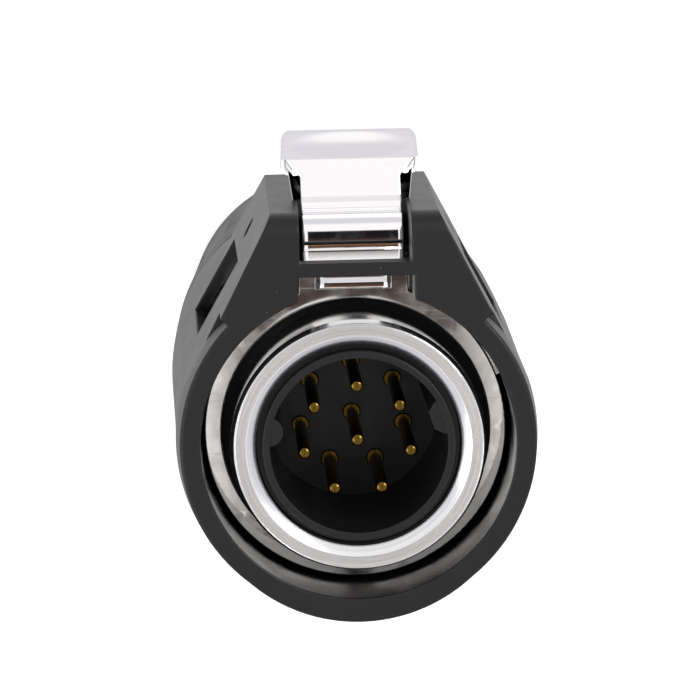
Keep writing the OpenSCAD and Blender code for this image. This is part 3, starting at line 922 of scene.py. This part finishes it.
@dataclass
class MatingNose:
    """The turned nose sleeve around the cup.

    The heights face, foot and seal come from the frame in metres, and the
    sizes are millimetres.
    """

    face: float
    foot: float
    seal: float
    radius: float = 10.25
    bore: float = 8.25
    bevel: float = 0.77
    bevel_depth: float = 0.62
    rim_bevel: float = 0.27
    rim_depth: float = 0.65
    line_outside: float = 0.32
    line: float = 0.04
    bore_depth: float = 12.1
    wide_bore: float = 0.75
    flange: float = 0.95
    flange_height: float = 2.0
    back_step: float = 0.15

    def profile(self) -> Outline:
        """Draws the sleeve's section.

        Returns:
            The outline as (radius, height) in metres.
        """
        top, low, seal = self.face / MM, self.foot / MM, self.seal / MM + 0.02
        r, b, back = self.radius, self.bore, self.radius - self.back_step
        line_out, line_in = r - self.line_outside, r - self.line_outside - self.line
        wide, flange, flange_top = b + self.wide_bore, r + self.flange, low + self.flange_height
        outline = rounded([
            (b, top - self.bevel_depth, 0.04), (b + self.bevel, top, 0.03),
            (line_in, top, 0.0), (line_in, top - self.line, 0.0),
            (line_out, top - self.line, 0.0), (line_out, top, 0.0),
            (r - self.rim_bevel, top, 0.04), (r, top - self.rim_depth, 0.15), (r, seal, 0.0), (back, seal, 0.0),
            (back, flange_top, 0.1), (flange, flange_top, 0.1), (flange, low, 0.1), (wide, low, 0.1),
            (wide, top - self.bore_depth, 0.05), (b, top - self.bore_depth, 0.05)], 4)
        return [(x * MM, y * MM) for x, y in outline]

    def build(self) -> bpy.types.Object:
        """Builds and dresses the sleeve.

        Returns:
            The piece.
        """
        bm = revolve(self.profile(), 224)
        shade_by_angle(bm, 20)
        return add_piece("nose", bm, NOSE, Body.PLUG, ["nose_sleeve"])


@dataclass
class ContactSet:
    """Eight gold contacts: one shape set seven times on a ring and once in the middle."""

    blank: bpy.types.Object
    ring_radius: float
    count: int = 7
    dome: float = 0.505 * MM
    flatness: float = 0.5

    def tree(self) -> bpy.types.NodeTree:
        """Builds the node tree that repeats a contact.

        Returns:
            The tree.
        """
        tree = bpy.data.node_groups.new("contact_set", "GeometryNodeTree")
        for name, kind in (("Contact", "NodeSocketGeometry"), ("Ring radius", "NodeSocketFloat"),
                           ("Count", "NodeSocketInt"), ("First angle", "NodeSocketFloat"),
                           ("Finish", "NodeSocketMaterial")):
            tree.interface.new_socket(name, in_out="INPUT", socket_type=kind)
        tree.interface.new_socket("Contacts", in_out="OUTPUT", socket_type="NodeSocketGeometry")
        g = Graph(tree)
        given, out = g.node("NodeGroupInput").outputs, g.node("NodeGroupOutput")
        ring = g.node("GeometryNodeMeshCircle", {"Vertices": given["Count"], "Radius": given["Ring radius"]})
        angle = g.node("ShaderNodeCombineXYZ", {2: given["First angle"]})
        turned = g.node("GeometryNodeTransform", {0: ring.outputs[0], "Rotation": angle.outputs[0]})
        points = g.node("GeometryNodeMeshToPoints", {0: turned.outputs[0]})
        middle = g.node("GeometryNodePoints", {"Count": 1})
        places = g.node("GeometryNodeJoinGeometry")
        for source in (points, middle):
            g.link(source.outputs[0], places.inputs[0])
        repeated = g.node("GeometryNodeInstanceOnPoints", {"Points": places.outputs[0],
                                                           "Instance": given["Contact"]})
        real = g.node("GeometryNodeRealizeInstances", {0: repeated.outputs[0]})
        dressed = g.node("GeometryNodeSetMaterial", {"Geometry": real.outputs[0], "Material": given["Finish"]})
        g.link(dressed.outputs[0], out.inputs[0])
        return tree

    def blank_mesh(self) -> bpy.types.Mesh:
        """Copies one contact, its domed tip flattened.

        Returns:
            The mesh, on the plug's axis.
        """
        bm = refined_copy(self.blank, 30)
        tip = max(vert.co.z for vert in bm.verts)
        for vert in bm.verts:
            if tip - vert.co.z < self.dome:
                vert.co.z = tip - (tip - vert.co.z) * self.flatness
        mesh = bpy.data.meshes.new("contact_blank")
        bm.to_mesh(mesh)
        bm.free()
        return mesh

    def build(self) -> bpy.types.Object:
        """Builds the eight contacts.

        Returns:
            The piece that holds them all.
        """
        carrier = bpy.data.objects.new("contact_blank", self.blank_mesh())
        bpy.context.scene.collection.objects.link(carrier)
        modifier = carrier.modifiers.new("set", "NODES")
        modifier.node_group = self.tree()
        values = {"Ring radius": self.ring_radius, "Count": self.count, "First angle": -math.pi / 2,
                  "Finish": GOLD_PAINTED_SHADE.material()}
        for item in modifier.node_group.interface.items_tree:
            if item.in_out == "INPUT" and item.name in values:
                modifier[item.identifier] = values[item.name]
        graph = bpy.context.evaluated_depsgraph_get()
        made = bpy.data.meshes.new_from_object(carrier.evaluated_get(graph))
        bpy.data.objects.remove(carrier)
        piece = bpy.data.objects.new("contacts", made)
        seat(piece, GOLD_PAINTED_SHADE, Body.PLUG, [f"contact_{n}" for n in range(1, self.count + 2)])
        return piece


# ---- pieces that keep the CAD's shape ---------------------------------------


@dataclass
class Skin:
    """A visible CAD piece, kept in shape, with smoothed curves and crisp edges."""

    node: str
    name: str
    finish: Finish
    slot: str
    body: Body = Body.PLUG
    degrees: float = 24.0
    inset: float = 0.0

    def build(self, nodes: dict[str, bpy.types.Object]) -> bpy.types.Object:
        """Builds the piece from its node, drawn in by inset where it runs against a neighbour.

        Args:
            nodes: the CAD nodes by name.

        Returns:
            The piece.
        """
        bm = refined_copy(nodes[self.node], self.degrees)
        if self.inset:
            bm.normal_update()
            for vert in bm.verts:
                vert.co -= vert.normal * self.inset
        piece = add_piece(self.name, bm, self.finish, self.body, [self.node])
        piece.modifiers.new("weighted", "WEIGHTED_NORMAL").keep_sharp = True
        return piece


SKINS = [
    Skin("front_shell", "shell", SHELL, "shell_plastic"),
    Skin("chassis", "chassis_tube", CHASSIS, "chassis_metal", degrees=7),
    Skin("insert_body", "insulator", INSERT, "insert_plastic"),
    Skin("latch_pin", "cross_pin", CROSS_PIN, "cross_pin_steel"),
    Skin("latch_spring", "torsion_spring", SPRING, "spring_steel", degrees=40),
    Skin("rear_coupler", "coupler", COUPLER, "coupler_plastic"),
    Skin("cable_gland", "gland", GLAND, "gland_rubber"),
    Skin("clamp_claw", "claw", CLAW, "claw_metal"),
    Skin("thrust_washer", "washer", WASHER, "washer_metal", Body.TRAVEL, inset=0.03 * MM),
    Skin("clamp_nut", "nut_grip", NUT, "nut_plastic", Body.NUT),
]
HIDDEN = {"nose_seal": SEAL, "insert_retainer": RETAINER, "lock_ring": LOCK_RING, "coupler_seal": SEAL}


# ---- studio -----------------------------------------------------------------


@dataclass(frozen=True)
class Lamp:
    """A square lamp, with its place and side in metres and its power in watts."""

    name: str
    place: tuple[float, float, float]
    side: float
    power: float
    colour: Colour

    def hang(self, aim: Vector) -> None:
        """Hangs the lamp.

        Args:
            aim: the point that it faces.
        """
        data = bpy.data.lights.new(self.name, "AREA")
        data.size, data.energy, data.color = self.side, self.power, self.colour
        lamp = bpy.data.objects.new(self.name, data)
        lamp.location = self.place
        lamp.rotation_mode = "QUATERNION"
        lamp.rotation_quaternion = (aim - Vector(self.place)).to_track_quat("-Z", "Y")
        bpy.context.scene.collection.objects.link(lamp)


@dataclass(frozen=True)
class Sky:
    """A pale room with one dark strip overhead, as polished metal mirrors it.

    Leans are degrees from straight up, positive toward the lever's side. A
    pair of leans or widths says where an edge begins and where it ends.
    """

    strip_back: tuple[float, float] = (-64.0, -58.0)
    strip_front: tuple[float, float] = (34.0, 28.0)
    strip_shift: float = 0.044
    strip_side: tuple[float, float] = (0.050, 0.036)
    glint_back: tuple[float, float] = (-38.0, -33.0)
    glint_front: tuple[float, float] = (-17.0, -22.0)
    dark_turn: tuple[float, float] = (4.0, -26.0)
    dark: Colour = (0.012, 0.011, 0.013)
    brown: Colour = (0.11, 0.062, 0.042)
    glint: Colour = (0.40, 0.20, 0.09)
    pale_turn: tuple[float, float] = (0.30, 0.50)
    pale_low: Colour = (0.74, 0.73, 0.775)
    pale_high: Colour = (1.04, 1.03, 1.02)
    backdrop: Colour = (1.0, 1.0, 1.0)

    def build(self) -> None:
        """Makes it the scene's world; the camera itself sees a white backdrop."""
        world = bpy.data.worlds.new("studio")
        bpy.context.scene.world = world
        world.use_nodes = True
        g = Graph(world.node_tree)
        x, y, z = g.split(g.node("ShaderNodeTexCoord").outputs["Generated"])
        lean = g.math("MULTIPLY", g.math("ARCTAN2", g.math("MULTIPLY", y, -1.0), z), 180 / math.pi)
        inside = g.math("MULTIPLY", g.remap(lean, *self.strip_back), g.remap(lean, *self.strip_front))
        across = g.math("ABSOLUTE", g.math("ADD", x, self.strip_shift))
        strip = g.math("MULTIPLY", inside, g.remap(across, *self.strip_side))
        glint = g.math("MULTIPLY", g.remap(lean, *self.glint_back), g.remap(lean, *self.glint_front))
        dark = g.mix(glint, g.mix(g.remap(lean, *self.dark_turn), self.dark, self.brown), self.glint)
        pale = g.mix(g.remap(z, *self.pale_turn), self.pale_low, self.pale_high)
        seen = g.node("ShaderNodeLightPath").outputs["Is Camera Ray"]
        shown = g.mix(seen, g.mix(strip, pale, dark), self.backdrop)
        back = g.node("ShaderNodeBackground", {"Color": shown, "Strength": 1.0})
        g.node("ShaderNodeOutputWorld", {0: back.outputs[0]})


@dataclass
class Studio:
    """Floor, sky, lamps and camera."""

    sky: Sky = Sky()
    lamps: tuple[Lamp, ...] = (Lamp("key", (-0.22, -0.16, 0.30), 0.16, 0.8, (1.0, 0.99, 0.98)),
                               Lamp("fill", (0.26, 0.05, 0.26), 0.20, 0.4, (0.97, 0.98, 1.0)))
    aim: tuple[float, float, float] = (0.0, 0.0, 0.06)
    floor_half: float = 2.0
    floor_colour: Colour = (0.80, 0.80, 0.81)
    floor_glow: float = 0.4
    lens: float = 154.3
    camera_place: tuple[float, float, float] = (10.606 * MM, -54.260 * MM, 294.947 * MM)
    camera_right: tuple[float, float, float] = (-0.998801, 0.016370, 0.046132)
    camera_up: tuple[float, float, float] = (-0.025040, -0.980652, -0.194152)

    def floor(self) -> None:
        """Builds the pale floor."""
        bm = bmesh.new()
        bmesh.ops.create_grid(bm, x_segments=1, y_segments=1, size=self.floor_half)
        mesh = bpy.data.meshes.new("floor")
        bm.to_mesh(mesh)
        bm.free()
        made = bpy.data.materials.new("pale_floor")
        made.use_nodes = True
        g = Graph(made.node_tree)
        diffuse = g.node("ShaderNodeBsdfDiffuse", {"Color": (*self.floor_colour, 1.0)})
        seen = g.node("ShaderNodeLightPath").outputs["Is Camera Ray"]
        glow = g.node("ShaderNodeEmission", {"Color": (1.0, 1.0, 1.0, 1.0),
                                             "Strength": g.math("MULTIPLY", seen, self.floor_glow)})
        both = g.node("ShaderNodeAddShader", {0: diffuse.outputs[0], 1: glow.outputs[0]})
        g.node("ShaderNodeOutputMaterial", {0: both.outputs[0]})
        mesh.materials.append(made)
        floor = bpy.data.objects.new("floor", mesh)
        bpy.context.scene.collection.objects.link(floor)

    def camera(self) -> None:
        """Sets the camera above the nose, looking down from the lever's side."""
        data = bpy.data.cameras.new("camera")
        data.sensor_width, data.lens = 36.0, self.lens
        data.clip_start, data.clip_end = 0.005, 20.0
        made = bpy.data.objects.new("camera", data)
        right, up = Vector(self.camera_right), Vector(self.camera_up)
        place = Matrix((right, up, right.cross(up))).transposed().to_4x4()
        place.translation = Vector(self.camera_place)
        made.matrix_world = place
        bpy.context.scene.collection.objects.link(made)
        bpy.context.scene.camera = made

    def build(self) -> None:
        """Builds the whole studio."""
        self.floor()
        self.sky.build()
        for lamp in self.lamps:
            lamp.hang(Vector(self.aim))
        self.camera()
        bpy.context.scene.view_settings.view_transform = "Standard"


def dress_hidden(nodes: dict[str, bpy.types.Object]) -> None:
    """Gives the CAD nodes that lie inside their finishes.

    Args:
        nodes: the CAD nodes by name.
    """
    for name, finish in HIDDEN.items():
        mesh = nodes[name].data
        mesh.materials.clear()
        mesh.materials.append(finish.material())
        log.info("node %s: %d faces, finish %s", name, len(mesh.polygons), finish.name)


def main() -> None:
    """Builds every piece and the studio."""
    logging.basicConfig(level=logging.INFO, format="%(message)s", stream=sys.stdout)
    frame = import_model()
    nodes = frame["nodes"]
    shell_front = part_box("front_shell")[1].z
    nose_low, nose_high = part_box("nose_sleeve")
    pin_low, pin_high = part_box("latch_pin")
    pin = (pin_low + pin_high) / 2
    for skin in SKINS:
        skin.build(nodes)
    dress_hidden(nodes)
    LatchLever(front=shell_front, pin_depth=(shell_front - pin.z) / MM, pin_height=-pin.y / MM,
               crown=-pin.y / MM + CROWN_ABOVE_PIN).build()
    MatingNose(face=nose_high.z, foot=nose_low.z, seal=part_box("nose_seal")[1].z).build()
    outer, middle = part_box("contact_1"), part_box("contact_8")
    ring_radius = (middle[0].y + middle[1].y - outer[0].y - outer[1].y) / 2
    ContactSet(nodes["contact_8"], ring_radius).build()
    Studio().build()


if __name__ == "__main__":
    main()
